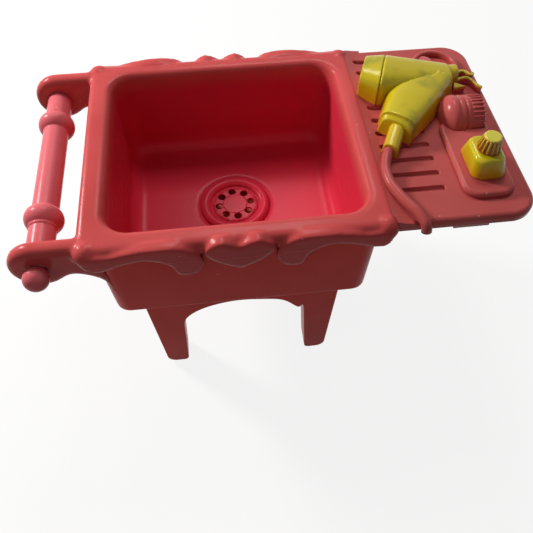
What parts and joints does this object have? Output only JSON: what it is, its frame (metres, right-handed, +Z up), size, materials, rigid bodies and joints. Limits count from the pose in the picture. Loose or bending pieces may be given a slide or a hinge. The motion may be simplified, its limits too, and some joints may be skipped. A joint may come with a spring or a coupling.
{
  "type": "toy grooming wash tub",
  "caption": "Doll-scale pet grooming tub on arched legs, with a turning towel bar at one end and a slotted side tray with moulded dryer, bottle, jar and soap dish",
  "frame": {"origin": "centre of the bounding box in plan, on the plane the feet stand on", "axes": "X runs along the tub from the towel bar to the side tray, Y from the front leg frame to the back one, Z up"},
  "size_m": [0.187, 0.1098, 0.1113],
  "materials": {
    "pink_plastic": "glossy moulded plastic, pink",
    "bar_plastic": "glossy moulded plastic, pink",
    "yellow_paint": "glossy yellow paint over pink plastic, worn at the edges",
    "ribbon_paint": "yellow paint on the top edge of pink plastic",
    "soap_plastic": "glossy pale pink plastic"
  },
  "bodies": {
    "tub": {"basin": "pink_plastic", "drain_strainer": "pink_plastic", "apron": "pink_plastic", "front_arm": "pink_plastic", "rear_arm": "pink_plastic", "front_leg_frame": "pink_plastic", "rear_leg_frame": "pink_plastic", "front_heart": "pink_plastic", "rear_heart": "pink_plastic", "front_left_boss": "pink_plastic", "rear_left_boss": "pink_plastic", "front_right_boss": "pink_plastic", "rear_right_boss": "pink_plastic", "front_left_scroll": "pink_plastic", "rear_left_scroll": "pink_plastic", "front_right_scroll": "pink_plastic", "rear_right_scroll": "pink_plastic", "side_tray": "pink_plastic", "bottle_pad": "pink_plastic", "bottle_body": "yellow_paint", "bottle_cap": "yellow_paint", "jar_body": "pink_plastic", "jar_collar": "pink_plastic", "jar_cap": "pink_plastic", "soap_dish": "pink_plastic", "soap": "soap_plastic", "dryer_nozzle": "yellow_paint", "dryer_barrel": "yellow_paint", "dryer_plug": "yellow_paint", "dryer_handle": "yellow_paint", "dryer_strain_relief": "yellow_paint", "dryer_cord": "pink_plastic", "ribbon_back": "ribbon_paint", "ribbon_front": "ribbon_paint", "ribbon_loop": "ribbon_paint"},
    "bar": {"towel_bar": "bar_plastic", "front_knob": "bar_plastic", "rear_knob": "bar_plastic"}
  },
  "joints": [
    {"name": "bar_turn", "type": "hinge", "parent": "tub", "child": "bar", "pos_m": [-0.0835, 0, 0.0872], "axis": [0, 1, 0], "continuous": true}
  ]
}
